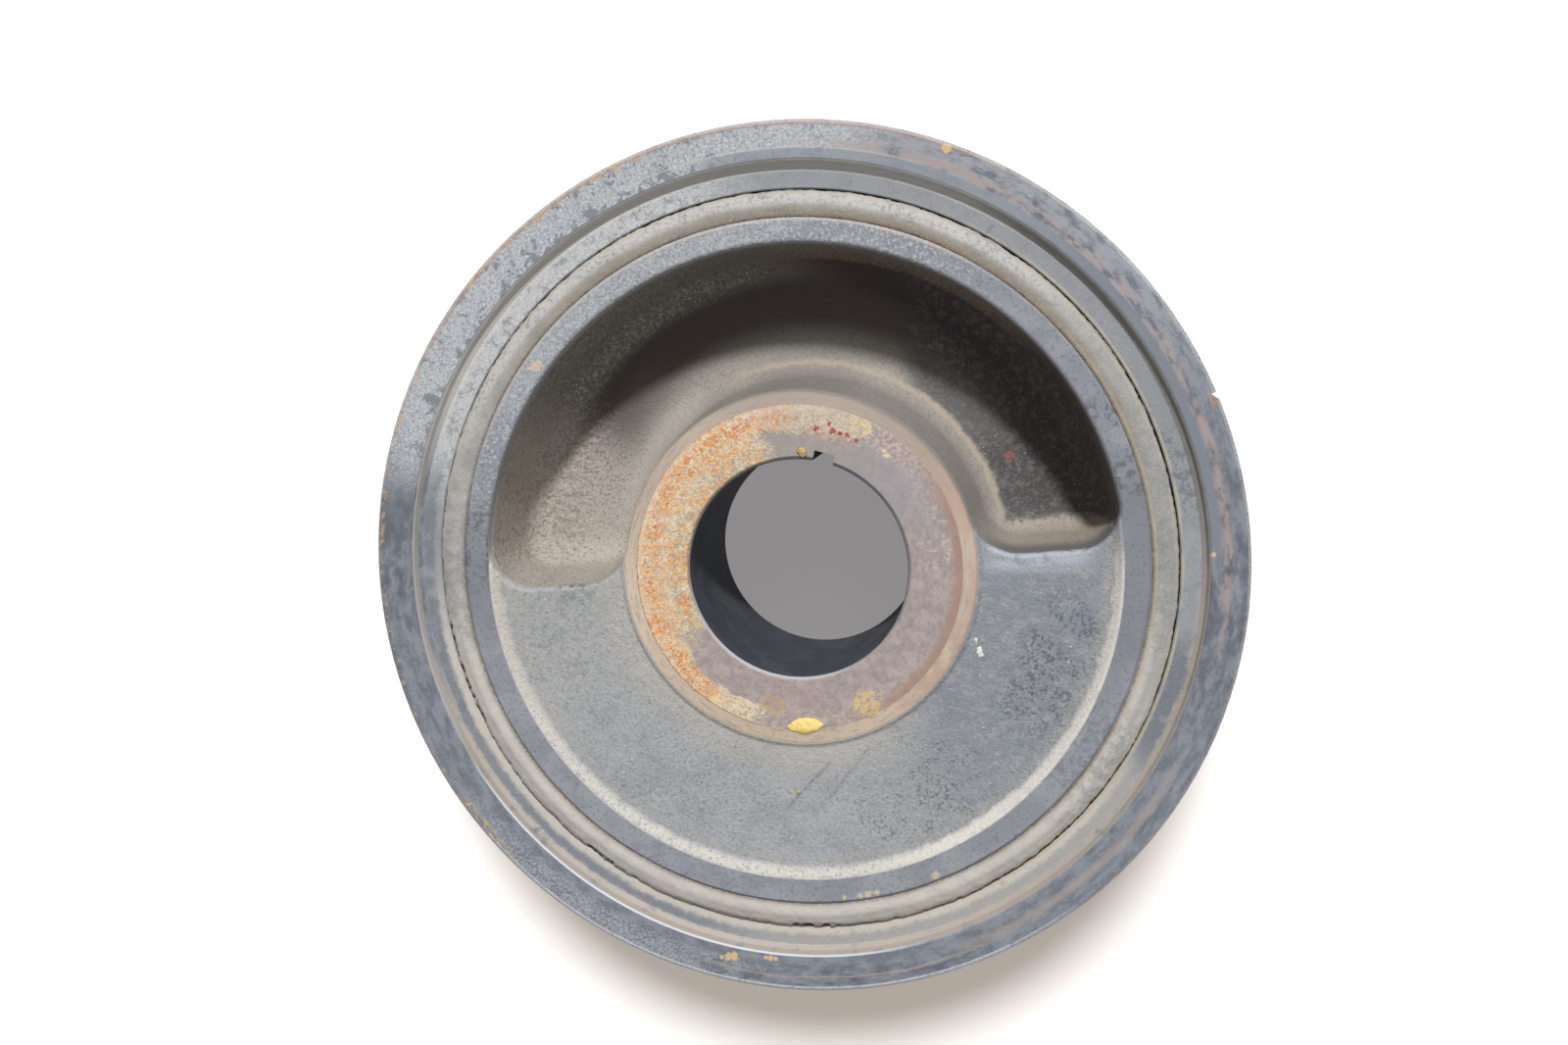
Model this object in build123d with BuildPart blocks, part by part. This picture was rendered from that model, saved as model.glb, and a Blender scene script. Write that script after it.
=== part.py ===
from build123d import *

import os
from math import radians, tan

# Harmonic balancer of a large V engine, in millimetres.
# It lies on its pulley side. The bore stands on the Z axis, the resting plane is
# Z = 0, and the engine side with the open pocket faces up. +Y points to the middle
# of the pocket.

# Inertia ring
ring_diameter = 203.2
ring_width = 50.8
ring_wall = 15.2
ring_edge_chamfer = 0.8
flange_width = 8.9
flange_edge_chamfer = 0.4
step_depth = 2.6
step_wall_draft = 20.0
step_foot_chamfer = 0.8
ring_bore_chamfer = 0.3
pulley_side_step_depth = 1.4
notch_width = 1.8
notch_depth = 1.4
notch_angle = 22.5

# Rubber between the rim and the inertia ring, bulged outwards so that it locks
rubber_thickness = 6.4
bulge_rise = 2.0
bulge_length = 30.0
bulge_crest_length = 10.0
bead_crest_offset = 2.5
bead_crest_drop = 0.3
bead_inner_drop = 0.9
bead_outer_drop = 1.6
crack_width = 0.6
crack_depth = 2.8
pulley_side_bead_drop = 2.6
pulley_side_bead_height = 1.1
pulley_side_bead_flank_width = 1.8

# Hub casting
hub_length = 60.0
ring_inset = 0.4
crank_nose_diameter = 50.8
press_interference = 0.03
bore_chamfer = 0.8
keyway_width = 4.76
keyway_depth = 2.3
keyway_angle = 76.0
boss_end_radius = 37.9
boss_shoulder_radius = 41.1
boss_shoulder_drop = 1.5
boss_foot_width = 1.4
rim_width = 6.0
rim_step_depth = 2.0
rim_step_width = 2.6
rim_edge_chamfer = 0.6

# Hollow pocket in the half across from the counterweight
pocket_rim_wall = 5.6
pocket_depth = 28.0
pocket_draft = 6.0
pocket_turn = 4.2
pocket_end_offset = 0.9
pocket_rim_corner_share = 0.29
pocket_boss_corner_share = 0.35
pocket_floor_corner_share = 0.19
casting_edge_radius = 1.1
boss_wall_trim = 0.2

# Pulley side of the hub
pulley_face_radius = 45.0
pulley_face_chamfer = 1.0
washer_recess_radius = 30.0
washer_recess_depth = 14.2
washer_recess_chamfer = 0.6
web_thickness = 11.0
web_recess_rim_wall = 7.5
web_recess_draft_width = 1.0
web_recess_corner_chamfer = 2.0
pulley_bolt_count = 4
pulley_bolt_circle_diameter = 75.0
pulley_bolt_start_angle = 45.0
tap_drill_diameter = 7.94
tap_drill_depth = 19.0
drill_point_angle = 118.0

# How far cutting shapes run past what they cut
overrun = 2.0

# Radii and heights that follow from the sizes above
ring_radius = ring_diameter / 2
ring_bore_radius = ring_radius - ring_wall
rubber_inner_radius = ring_bore_radius - rubber_thickness
rim_step_radius = rubber_inner_radius - rim_width
pocket_radius = rubber_inner_radius - pocket_rim_wall
web_recess_radius = rubber_inner_radius - web_recess_rim_wall
ring_top = hub_length - ring_inset
ring_bottom = ring_top - ring_width
ring_middle = (ring_top + ring_bottom) / 2
step_radius = ring_radius - flange_width
step_floor = ring_top - step_depth
step_foot = step_radius - step_depth * tan(radians(step_wall_draft))
bore_radius = crank_nose_diameter / 2 - press_interference / 2
counterweight_top = ring_top - rim_step_depth
boss_shoulder_height = hub_length - boss_shoulder_drop
web_bottom = ring_top - pocket_depth - web_thickness


def gripping_wall(radius, low, high):
    """Wall of the rubber joint, from low to high, with the bulge that locks it."""
    crest = radius + bulge_rise
    Polyline(
        (radius, low),
        (radius, ring_middle - bulge_length / 2),
        (crest, ring_middle - bulge_crest_length / 2),
        (crest, ring_middle + bulge_crest_length / 2),
        (radius, ring_middle + bulge_length / 2),
        (radius, high),
    )


def corner(section, radius, height):
    """The corner of a section that lies at one radius and height."""
    return section.vertices().sort_by_distance((radius, height))[0]


# Core of the pocket: a crescent between the boss and the rim, with drafted walls,
# wide corners and a rounded floor
boss_wall_rise = (ring_top - boss_shoulder_height) * tan(radians(pocket_draft))
boss_wall_radius = boss_shoulder_radius - boss_wall_trim - boss_wall_rise
pocket_width = pocket_radius - boss_wall_radius
pocket_floor_radius = pocket_floor_corner_share * pocket_width

with BuildPart() as pocket_core:
    with BuildSketch(Plane.XY.offset(ring_top)) as pocket_outline:
        Circle(pocket_radius)
        Circle(boss_wall_radius, mode=Mode.SUBTRACT)
        with Locations(Rotation(0, 0, pocket_turn)):
            with Locations((0, -pocket_end_offset)):
                Rectangle(
                    2 * ring_radius,
                    ring_radius,
                    align=(Align.CENTER, Align.MIN),
                    mode=Mode.INTERSECT,
                )
        rim_corners = pocket_outline.vertices().sort_by(SortBy.DISTANCE)[-2:]
        fillet(rim_corners, radius=pocket_rim_corner_share * pocket_width)
        boss_corners = pocket_outline.vertices().sort_by(SortBy.DISTANCE)[:2]
        fillet(boss_corners, radius=pocket_boss_corner_share * pocket_width)
    extrude(amount=-pocket_depth)
    walls = pocket_core.faces().filter_by(Axis.Z, reverse=True)
    draft(walls, neutral_plane=Plane.XY.offset(ring_top), angle=-pocket_draft)
    fillet(pocket_core.faces().sort_by(Axis.Z)[0].edges(), radius=pocket_floor_radius)

# Drill for the tapped holes that take the pulley's bolts
tap_drill_radius = tap_drill_diameter / 2
drill_point_height = tap_drill_radius / tan(radians(drill_point_angle / 2))

with BuildPart() as tap_drill:
    with BuildSketch(Plane.XZ):
        with BuildLine():
            Polyline(
                (0, -overrun),
                (tap_drill_radius, -overrun),
                (tap_drill_radius, tap_drill_depth),
                (0, tap_drill_depth + drill_point_height),
                close=True,
            )
        make_face()
    revolve(axis=Axis.Z)

# Hub: boss, web, counterweight and rim in one casting
with BuildPart() as hub:
    with BuildSketch(Plane.XZ) as hub_section:
        with BuildLine():
            gripping_wall(rubber_inner_radius, ring_bottom, ring_top)
            Polyline(
                (rubber_inner_radius, ring_top),
                (rim_step_radius, ring_top),
                (rim_step_radius - rim_step_width, counterweight_top),
                (boss_shoulder_radius + boss_foot_width, counterweight_top),
                (boss_shoulder_radius, boss_shoulder_height),
                (boss_end_radius, hub_length),
                (bore_radius, hub_length),
                (bore_radius, washer_recess_depth),
                (washer_recess_radius, washer_recess_depth),
                (washer_recess_radius, 0),
                (pulley_face_radius, 0),
                (pulley_face_radius, web_bottom),
                (web_recess_radius, web_bottom),
                (web_recess_radius + web_recess_draft_width, ring_bottom),
                (rubber_inner_radius, ring_bottom),
            )
        make_face()
        for recess_radius in (pulley_face_radius, web_recess_radius):
            chamfer(
                corner(hub_section, recess_radius, web_bottom),
                length=web_recess_corner_chamfer,
            )
        chamfer(corner(hub_section, pulley_face_radius, 0), length=pulley_face_chamfer)
        chamfer(corner(hub_section, washer_recess_radius, 0), length=washer_recess_chamfer)
        for end_height in (washer_recess_depth, hub_length):
            chamfer(corner(hub_section, bore_radius, end_height), length=bore_chamfer)
        for end_height in (ring_bottom, ring_top):
            chamfer(
                corner(hub_section, rubber_inner_radius, end_height),
                length=rim_edge_chamfer,
            )
    revolve(axis=Axis.Z)

    # The hollow pocket. Its mouth and the two steps beside it are rounded together,
    # from the lowest edge up.
    add(pocket_core.part, mode=Mode.SUBTRACT)
    mouth_edges = (
        hub.edges(Select.LAST)
        .filter_by(lambda edge: edge.center().Z > ring_top - pocket_floor_radius)
        .sort_by(Axis.X)
        .sort_by(Axis.Z)
    )
    fillet(mouth_edges, radius=casting_edge_radius)

    # Keyway along the whole bore
    with BuildSketch(Plane.XY.offset(-overrun)):
        with PolarLocations(0, 1, start_angle=keyway_angle):
            Rectangle(
                bore_radius + keyway_depth,
                keyway_width,
                align=(Align.MIN, Align.CENTER),
            )
    extrude(amount=hub_length + 2 * overrun, mode=Mode.SUBTRACT)

    # Tapped holes for the drive pulley, clear of the keyway
    with PolarLocations(
        pulley_bolt_circle_diameter / 2,
        pulley_bolt_count,
        start_angle=keyway_angle + pulley_bolt_start_angle,
    ):
        add(tap_drill.part, mode=Mode.SUBTRACT)

# Inertia ring: flange round the edge, a shallow step inside it and the bulged bore
with BuildPart() as inertia_ring:
    with BuildSketch(Plane.XZ) as ring_section:
        with BuildLine():
            gripping_wall(
                ring_bore_radius,
                ring_bottom + pulley_side_step_depth,
                step_floor,
            )
            Polyline(
                (ring_bore_radius, step_floor),
                (step_foot, step_floor),
                (step_radius, ring_top),
                (ring_radius, ring_top),
                (ring_radius, ring_bottom),
                (step_radius, ring_bottom),
                (step_radius, ring_bottom + pulley_side_step_depth),
                (ring_bore_radius, ring_bottom + pulley_side_step_depth),
            )
        make_face()
        chamfer(corner(ring_section, step_foot, step_floor), length=step_foot_chamfer)
        chamfer(corner(ring_section, step_radius, ring_top), length=flange_edge_chamfer)
        chamfer(corner(ring_section, ring_bore_radius, step_floor), length=ring_bore_chamfer)
        for end_height in (ring_bottom, ring_top):
            chamfer(corner(ring_section, ring_radius, end_height), length=ring_edge_chamfer)
    revolve(axis=Axis.Z)

    # Timing notch across the outer face
    with BuildSketch(Plane.XY.offset(ring_bottom - overrun)):
        with PolarLocations(ring_radius - notch_depth, 1, start_angle=notch_angle):
            Rectangle(
                notch_depth + overrun,
                notch_width,
                align=(Align.MIN, Align.CENTER),
            )
    extrude(amount=ring_width + 2 * overrun, mode=Mode.SUBTRACT)

# Rubber ring: fills the bulged gap, ends in a bead and has pulled away from the
# inertia ring in a narrow crack
bead_inner_height = ring_top - bead_inner_drop
bead_outer_height = ring_top - bead_outer_drop
crack_radius = ring_bore_radius - crack_width
crack_bottom = bead_outer_height - crack_depth
pulley_side_bead_edge = ring_bottom + pulley_side_bead_drop
pulley_side_bead_crest = pulley_side_bead_edge - pulley_side_bead_height

with BuildPart() as elastomer_ring:
    with BuildSketch(Plane.XZ):
        with BuildLine():
            gripping_wall(rubber_inner_radius, pulley_side_bead_edge, bead_inner_height)
            ThreePointArc(
                (rubber_inner_radius, bead_inner_height),
                (rubber_inner_radius + bead_crest_offset, ring_top - bead_crest_drop),
                (crack_radius, bead_outer_height),
            )
            Line((crack_radius, bead_outer_height), (ring_bore_radius, crack_bottom))
            gripping_wall(ring_bore_radius, pulley_side_bead_edge, crack_bottom)
            Polyline(
                (rubber_inner_radius, pulley_side_bead_edge),
                (rubber_inner_radius + pulley_side_bead_flank_width, pulley_side_bead_crest),
                (ring_bore_radius - pulley_side_bead_flank_width, pulley_side_bead_crest),
                (ring_bore_radius, pulley_side_bead_edge),
            )
        make_face()
    revolve(axis=Axis.Z)

hub.part.label = "hub"
elastomer_ring.part.label = "elastomer_ring"
inertia_ring.part.label = "inertia_ring"

os.makedirs("parts", exist_ok=True)
export_step(hub.part, "parts/hub.step")
export_step(elastomer_ring.part, "parts/elastomer_ring.step")
export_step(inertia_ring.part, "parts/inertia_ring.step")
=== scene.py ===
# %% [markdown]
# # A used harmonic balancer
#
# A harmonic balancer sits on the nose of an engine's crankshaft. An iron hub carries a
# heavy outer ring on a band of rubber, and the ring soaks up the shaft's twist. This
# one is old: rust on the machined boss, dust in the corners, worn paint on the ring.
# The solid model gives the iron its exact shape, so this lesson is about the rest: a
# rubber ring turned and roughened with Geometry Nodes, grit and flakes of rust that are
# real small bodies, and finishes that show where dirt, rust and wear gather.

# %% Load the solid model as a fixed frame
from math import atan2, cos, hypot, log2, pi, radians, sin, sqrt

import bpy
import bmesh
from mathutils import Matrix, Vector, noise as hills


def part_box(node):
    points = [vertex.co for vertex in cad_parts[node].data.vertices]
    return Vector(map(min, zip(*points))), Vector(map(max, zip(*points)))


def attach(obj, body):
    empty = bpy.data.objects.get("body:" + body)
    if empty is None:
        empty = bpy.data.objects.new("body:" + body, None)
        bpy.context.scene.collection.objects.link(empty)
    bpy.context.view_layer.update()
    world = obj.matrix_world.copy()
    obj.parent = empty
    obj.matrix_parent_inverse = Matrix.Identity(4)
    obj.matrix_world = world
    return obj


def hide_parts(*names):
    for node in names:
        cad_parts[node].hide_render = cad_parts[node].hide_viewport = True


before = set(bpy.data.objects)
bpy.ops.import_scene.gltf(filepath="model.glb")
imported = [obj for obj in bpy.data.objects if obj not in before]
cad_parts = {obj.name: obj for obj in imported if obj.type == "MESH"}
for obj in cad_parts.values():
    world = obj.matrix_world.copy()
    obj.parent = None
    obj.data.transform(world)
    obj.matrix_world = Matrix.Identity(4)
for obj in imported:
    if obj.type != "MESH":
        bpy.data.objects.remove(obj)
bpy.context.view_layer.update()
MM = 0.001
hub_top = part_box("hub")[1].z / MM
ring_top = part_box("inertia_ring")[1].z / MM
ring_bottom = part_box("inertia_ring")[0].z / MM
scene = bpy.context.scene
print("loaded", sorted(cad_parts), "hub top at", round(hub_top, 1), "mm")

# %% [markdown]
# ## Camera
#
# The photograph looks almost straight down, from a little to the right of the bore and
# beyond it, so the bore's left and lower walls show. Three unit vectors say how the
# camera is turned: what lies to its right, what lies above it, and what lies behind it.
# They become the columns of its matrix, which avoids Euler angles.

# %% Place the camera
camera_data = bpy.data.cameras.new("photo_camera")
camera_data.sensor_width = 36.0
camera_data.lens = 40.05
camera_data.clip_start = 0.01
camera = bpy.data.objects.new("photo_camera", camera_data)
to_the_right = Vector((0.9883, -0.0198, -0.1512))
upwards = Vector((0.0, 0.9915, -0.1299))
behind = Vector((0.1525, 0.1284, 0.9799))
turn = Matrix((to_the_right, upwards, behind)).transposed().to_4x4()
camera_place = Vector((0.0581, 0.0623, ring_top * MM + 0.3928))
camera.matrix_world = Matrix.Translation(camera_place) @ turn
scene.collection.objects.link(camera)
scene.camera = camera
print("camera at", [round(value, 4) for value in camera_place])

# %% [markdown]
# ## A bench for wiring nodes
#
# Materials and Geometry Nodes are both trees of nodes, and many of the nodes are the
# same in both: arithmetic, vectors, noise. A small class wires them, so that the rest
# of the script can say what it wants in one line. Its methods take numbers or other
# nodes' outputs. Positions are in millimetres on the object itself, and angles in
# degrees round the bore, from the right and anticlockwise as seen from above.

# %% The bench, for any kind of tree
class Bench:
    """Adds nodes to a tree and joins them."""

    def __init__(self, tree):
        self.tree = tree

    def survey(self, position):
        """Works out the radius, angle and height of each point from its position."""
        self.place = self.vector("SCALE", position, scale=1.0 / MM)
        parts = self.add("ShaderNodeSeparateXYZ")
        self.feed(parts.inputs[0], self.place)
        self.x, self.y, self.height = parts.outputs
        flat = self.vector("MULTIPLY", self.place, (1.0, 1.0, 0.0))
        self.outward = self.vector("NORMALIZE", flat)
        self.radius = self.vector("LENGTH", flat)
        self.angle = self.math("ARCTAN2", self.y, self.x)

    def add(self, kind):
        return self.tree.nodes.new(kind)

    def feed(self, socket, value):
        if isinstance(value, bpy.types.NodeSocket):
            self.tree.links.new(value, socket)
        else:
            socket.default_value = value

    def math(self, operation, *values):
        node = self.add("ShaderNodeMath")
        node.operation = operation
        for socket, value in zip(node.inputs, values):
            self.feed(socket, value)
        return node.outputs[0]

    def vector(self, operation, *values, scale=None):
        node = self.add("ShaderNodeVectorMath")
        node.operation = operation
        for socket, value in zip(node.inputs, values):
            self.feed(socket, value)
        if scale is not None:
            self.feed(node.inputs["Scale"], scale)
        return node.outputs["Value" if operation in ("LENGTH", "DOT_PRODUCT") else "Vector"]

    def noise(self, size, detail=4.0, rough=0.6, at=None, bend=0.0, seed=0.0):
        """Cloudy noise, 0 to 1, with blotches about size millimetres across.

        To save time, details too small to see are left out, unless the noise is stretched.
        A seed moves to another part of the same endless noise.
        """
        finest = 0.08
        seed_step = (61.0, 37.0, 17.0)
        where = at or self.place
        if at is None:
            detail = min(detail, max(1.0, log2(size / finest)))
        if seed:
            shift = self.add("ShaderNodeMapping")
            self.feed(shift.inputs["Vector"], where)
            self.feed(shift.inputs["Location"], [seed * step for step in seed_step])
            where = shift.outputs[0]
        node = self.add("ShaderNodeTexNoise")
        self.feed(node.inputs["Vector"], where)
        self.feed(node.inputs["Scale"], 1.0 / size)
        self.feed(node.inputs["Detail"], detail)
        self.feed(node.inputs["Roughness"], rough)
        self.feed(node.inputs["Distortion"], bend)
        return node.outputs[0]

    def rise(self, value, low, high):
        """0 below low, 1 above high, and a smooth slope between. High may be the lower."""
        node = self.add("ShaderNodeMapRange")
        node.interpolation_type = "SMOOTHSTEP"
        if low > high:
            low, high = high, low
            self.feed(node.inputs["To Min"], 1.0)
            self.feed(node.inputs["To Max"], 0.0)
        self.feed(node.inputs["Value"], value)
        self.feed(node.inputs["From Min"], low)
        self.feed(node.inputs["From Max"], high)
        return node.outputs["Result"]

    def band(self, value, low, high, soft):
        """1 between low and high, and 0 outside, with soft edges."""
        up = self.rise(value, low - soft, low + soft)
        down = self.rise(value, high + soft, high - soft)
        return self.math("MULTIPLY", up, down)

    def both(self, *masks):
        """All the masks multiplied."""
        result = masks[0]
        for mask in masks[1:]:
            result = self.math("MULTIPLY", result, mask)
        return result

    def either(self, *masks):
        """The strongest of the masks at each point."""
        result = masks[0]
        for mask in masks[1:]:
            result = self.math("MAXIMUM", result, mask)
        return result

    def outside(self, mask):
        return self.math("SUBTRACT", 1.0, mask)

    def sector(self, start, end, soft):
        """1 in a sector round the bore, from start to end in degrees."""
        middle = radians((start + end) / 2)
        half_width = (end - start) / 2
        match = self.vector("DOT_PRODUCT", self.outward, (cos(middle), sin(middle), 0.0))
        inner = cos(radians(max(half_width - soft, 0.0)))
        outer = cos(radians(min(half_width + soft, 180.0)))
        return self.rise(match, outer, inner)


# %% [markdown]
# A worn surface is layers: base coat, wear, rust, dust. Each layer is a colour and the
# masks that say where it lies. Colours are written as they look on a screen, from 0 to
# 255, because that is how an eye or a photograph gives them, and a formula turns them
# into the linear values that a shader works with. Blender works out the nodes in the
# order in which they were made and keeps each result until its last use, in a space
# that a long list of masks would fill. So most masks are made where their coat is laid.

# %% Finishes, made of coats
def paint(red, green, blue):
    """A colour written as it looks on a screen, as the shader needs it: the sRGB formula."""
    channels = []
    for value in (red, green, blue):
        share = value / 255
        channels.append(share / 12.92 if share < 0.04045 else ((share + 0.055) / 1.055) ** 2.4)
    return (*channels, 1.0)


class Finish(Bench):
    """A material, built up from coats of colour."""

    def __init__(self, name, red, green, blue):
        self.material = bpy.data.materials.new(name)
        self.material.use_nodes = True
        super().__init__(self.material.node_tree)
        self.shader = self.tree.nodes["Principled BSDF"]
        self.survey(self.add("ShaderNodeTexCoord").outputs["Object"])
        self.colour = paint(red, green, blue)
        self.wobbles = {}

    def mix(self, mask, under, over):
        node = self.add("ShaderNodeMix")
        node.data_type = "RGBA"
        self.feed(node.inputs[0], mask)
        self.feed(node.inputs[6], under)
        self.feed(node.inputs[7], over)
        return node.outputs[2]

    def coat(self, colour, *masks):
        """Lays a colour over what is there, where all the masks are 1."""
        self.colour = self.mix(self.both(*masks), self.colour, paint(*colour))

    def specks(self, size, share, rough=0.7, seed=0.0, bend=0.0):
        """Small ragged specks, which cover nearly nothing at a share of 0 and most at 1."""
        high_noise, noise_range, softness = 0.62, 0.24, 0.07
        low = high_noise - noise_range * share
        return self.rise(self.noise(size, 5.0, rough, seed=seed, bend=bend), low, low + softness)

    def spot(self, x, y, size, ragged):
        """1 inside a ragged spot at x, y, about size millimetres in radius."""
        away = self.vector("SUBTRACT", self.place, (x, y, 0.0))
        flat = self.vector("MULTIPLY", away, (1.0, 1.0, 0.0))
        distance = self.vector("LENGTH", flat)
        coarseness = 0.6 if size < 1.0 else 1.6
        if coarseness not in self.wobbles:
            self.wobbles[coarseness] = self.noise(coarseness, 3.0)
        wobble = self.wobbles[coarseness]
        shifted = self.math("MULTIPLY_ADD", wobble, 2.0 * ragged * size, distance)
        return self.rise(shifted, size * (1.1 + ragged), size * (0.8 + ragged))

    def words(self):
        """The methods and measures that coats are written with, for use as plain words."""
        coating = (self.coat, self.rise, self.band, self.both, self.either, self.sector)
        return (*coating, self.specks, self.spot, self.noise, self.radius, self.height)

    def bump(self, height, depth):
        """Small relief, with its full depth in millimetres."""
        node = self.add("ShaderNodeBump")
        self.feed(node.inputs["Distance"], depth * MM)
        self.feed(node.inputs["Height"], height)
        return node.outputs["Normal"]

    def done(self, roughness, normal=None):
        self.feed(self.shader.inputs["Base Color"], self.colour)
        self.feed(self.shader.inputs["Roughness"], roughness)
        if normal is not None:
            self.feed(self.shader.inputs["Normal"], normal)
        print(self.material.name, "has", len(self.tree.nodes), "nodes")
        return self.material


# %% [markdown]
# ## The table
#
# The balancer lies on a pale table that is so bright in the photograph that it is plain
# white, and only the shadow shows. The floor is nearly white, and a little light of its
# own, seen by the camera and in reflections only, keeps its shadow from going black.
# Under the bore the table's colour is painted near black, as painted shade, so that only its own light shows
# there, a plain grey.

# %% Lay the table
shade_light = 0.27
table = Finish("pale_table", 243, 244, 246)
# Painted shade: the table is painted near black in a disc under the bore.
painted_shade_under_bore = table.rise(table.radius, 42.0, 38.0)
table.coat((20, 20, 20), painted_shade_under_bore)
own_light = table.add("ShaderNodeEmission")
warm_shade = (0.94, 0.76, 0.56, 1.0)
plain_shade = (1.0, 0.96, 0.97, 1.0)
table.feed(own_light.inputs["Color"], table.mix(painted_shade_under_bore, warm_shade, plain_shade))
rays = table.add("ShaderNodeLightPath").outputs
seen = table.either(rays["Is Camera Ray"], rays["Is Glossy Ray"], rays["Is Transmission Ray"])
table.feed(own_light.inputs["Strength"], table.both(seen, shade_light))
sum_of_both = table.add("ShaderNodeAddShader")
table.feed(sum_of_both.inputs[0], table.shader.outputs[0])
table.feed(sum_of_both.inputs[1], own_light.outputs[0])
table.feed(table.tree.nodes["Material Output"].inputs["Surface"], sum_of_both.outputs[0])

floor_mesh = bpy.data.meshes.new("table_top")
reach = 4.0
floor_mesh.from_pydata(
    [(-reach, -reach, 0), (reach, -reach, 0), (reach, reach, 0), (-reach, reach, 0)],
    [],
    [(0, 1, 2, 3)],
)
floor_mesh.materials.append(table.done(0.9))
floor = bpy.data.objects.new("table_top", floor_mesh)
floor.location.z = -0.0002
scene.collection.objects.link(floor)

# %% [markdown]
# ## Light
#
# One compact lamp stands beyond the balancer, 48 degrees up, and throws the shadow that
# fills the pocket. A sun lamp gives the same parallel light everywhere, and its angle
# sets how soft the shadow's edge is. A weak second sun from the right fills what the
# first leaves dark, and the world gives an even soft light from all sides. The table
# has a lamp of its own, a little higher and three times as wide, because its shadow is
# shorter and softer. Light linking keeps that lamp off the balancer and the others off
# the table.

# %% Hang the lamps
def hang_sun(name, towards, energy, spread):
    """A sun lamp that shines from the direction towards."""
    lamp_data = bpy.data.lights.new(name, "SUN")
    lamp_data.energy = energy
    lamp_data.angle = radians(spread)
    lamp = bpy.data.objects.new(name, lamp_data)
    lamp.rotation_euler = Vector(towards).to_track_quat("Z", "Y").to_euler()
    scene.collection.objects.link(lamp)
    return lamp


def link_light(lamp, name, state):
    """Says whether the lamp lights only the table, or all but the table."""
    receivers = bpy.data.collections.new(name)
    receivers.objects.link(floor)
    receivers.collection_objects[0].light_linking.link_state = state
    lamp.light_linking.receiver_collection = receivers


key_lamp = hang_sun("key_lamp", (0.14, 0.9, 1.0), energy=2.95, spread=4.8)
side_lamp = hang_sun("side_lamp", (1.0, 0.15, 1.45), energy=0.3, spread=9.0)
table_lamp = hang_sun("table_lamp", (0.1, 0.69, 1.0), energy=3.0, spread=14.0)
link_light(key_lamp, "all_but_table", "EXCLUDE")
link_light(side_lamp, "all_but_table_too", "EXCLUDE")
link_light(table_lamp, "table_only", "INCLUDE")

world = bpy.data.worlds.new("studio")
scene.world = world
world.use_nodes = True
sky = world.node_tree.nodes["Background"]
sky.inputs["Color"].default_value = (1.0, 1.0, 1.0, 1.0)
sky.inputs["Strength"].default_value = 0.23
scene.view_settings.view_transform = "Standard"
print("lamps:", [lamp.name for lamp in (key_lamp, side_lamp, table_lamp)])

# %% [markdown]
# ## Inertia ring
#
# The outer ring is turned iron under thin dark paint. At the upper left the paint is
# worn to pale bare iron with short scratches across it, and islands of paint left on.
# A brown line of rust follows an old contact mark, dust has settled at the foot of the
# step, and ochre flakes cling to the outer edge. Scratches that run outwards come from
# noise whose space is squeezed round the ring and stretched along the radius. Each
# finish first hands over its own words, such as coat and sector, so that a coat reads
# as one short line: a colour, the masks that say where it lies, and how dense it is.

# %% Grain that runs across the ring, and grain that runs round it
ring = Finish("ring_iron_worn_paint", 114, 119, 129)
coat, rise, band, both, either, sector, specks, spot, noise, radius, height = ring.words()


def polar_grain(finish, round_scale, out_scale, size, detail=3.0, seed=0.0):
    """Noise in a space of angle and radius, stretched by the two scales."""
    parts = [
        finish.math("MULTIPLY", finish.angle, round_scale),
        finish.math("MULTIPLY", finish.radius, out_scale),
        finish.math("MULTIPLY", finish.height, out_scale),
    ]
    stretched = finish.add("ShaderNodeCombineXYZ")
    for socket, part in zip(stretched.inputs, parts):
        finish.feed(socket, part)
    return finish.noise(size, detail, 0.7, at=stretched.outputs[0], seed=seed)


rubber_outer = 86.4
step_floor_radius = 91.1
flange_radius = 93.0
ring_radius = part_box("inertia_ring")[1].x / MM
across = polar_grain(ring, 100.0, 0.3, 0.4)
turning = polar_grain(ring, 8.0, 1.0, 0.4)
smears = polar_grain(ring, 40.0, 1.0, 2.4, detail=5.0, seed=1.0)
cloud = noise(6.0, 5.0)
fine = noise(0.45, 4.0, 0.75)
flange = rise(radius, flange_radius - 0.1, flange_radius + 0.2)
coat((138, 143, 152), rise(smears, 0.4, 0.62))
coat((92, 96, 106), rise(smears, 0.46, 0.34), rise(cloud, 0.4, 0.56), 0.4)
coat((160, 164, 170), rise(turning, 0.58, 0.74), 0.4)
coat((172, 175, 180), rise(fine, 0.58, 0.7), 0.45)
coat((86, 90, 98), rise(fine, 0.42, 0.32), 0.4)
print("the flange runs from", flange_radius, "to", round(ring_radius, 1), "mm")

# %% Darker and lighter stretches of the flange
coat((172, 175, 180), sector(34, 84, 14), rise(smears, 0.36, 0.54), 0.6)
scuffed = both(sector(222, 260, 12), flange, rise(radius, 94.0, 97.0))
coat((170, 172, 177), scuffed, specks(0.7, 0.6, seed=3.0), 0.8)
outer_part = rise(radius, 94.5, 97.5)
dark_outside = both(sector(258, 290, 10), outer_part)
dark_stretch = either(sector(-16, 10, 8), sector(166, 186, 6), dark_outside)
coat((92, 96, 105), dark_stretch, rise(cloud, 0.34, 0.58), rise(smears, 0.66, 0.36), 0.8)
coat((98, 102, 110), flange, sector(166, 176, 3), 0.6)

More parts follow.
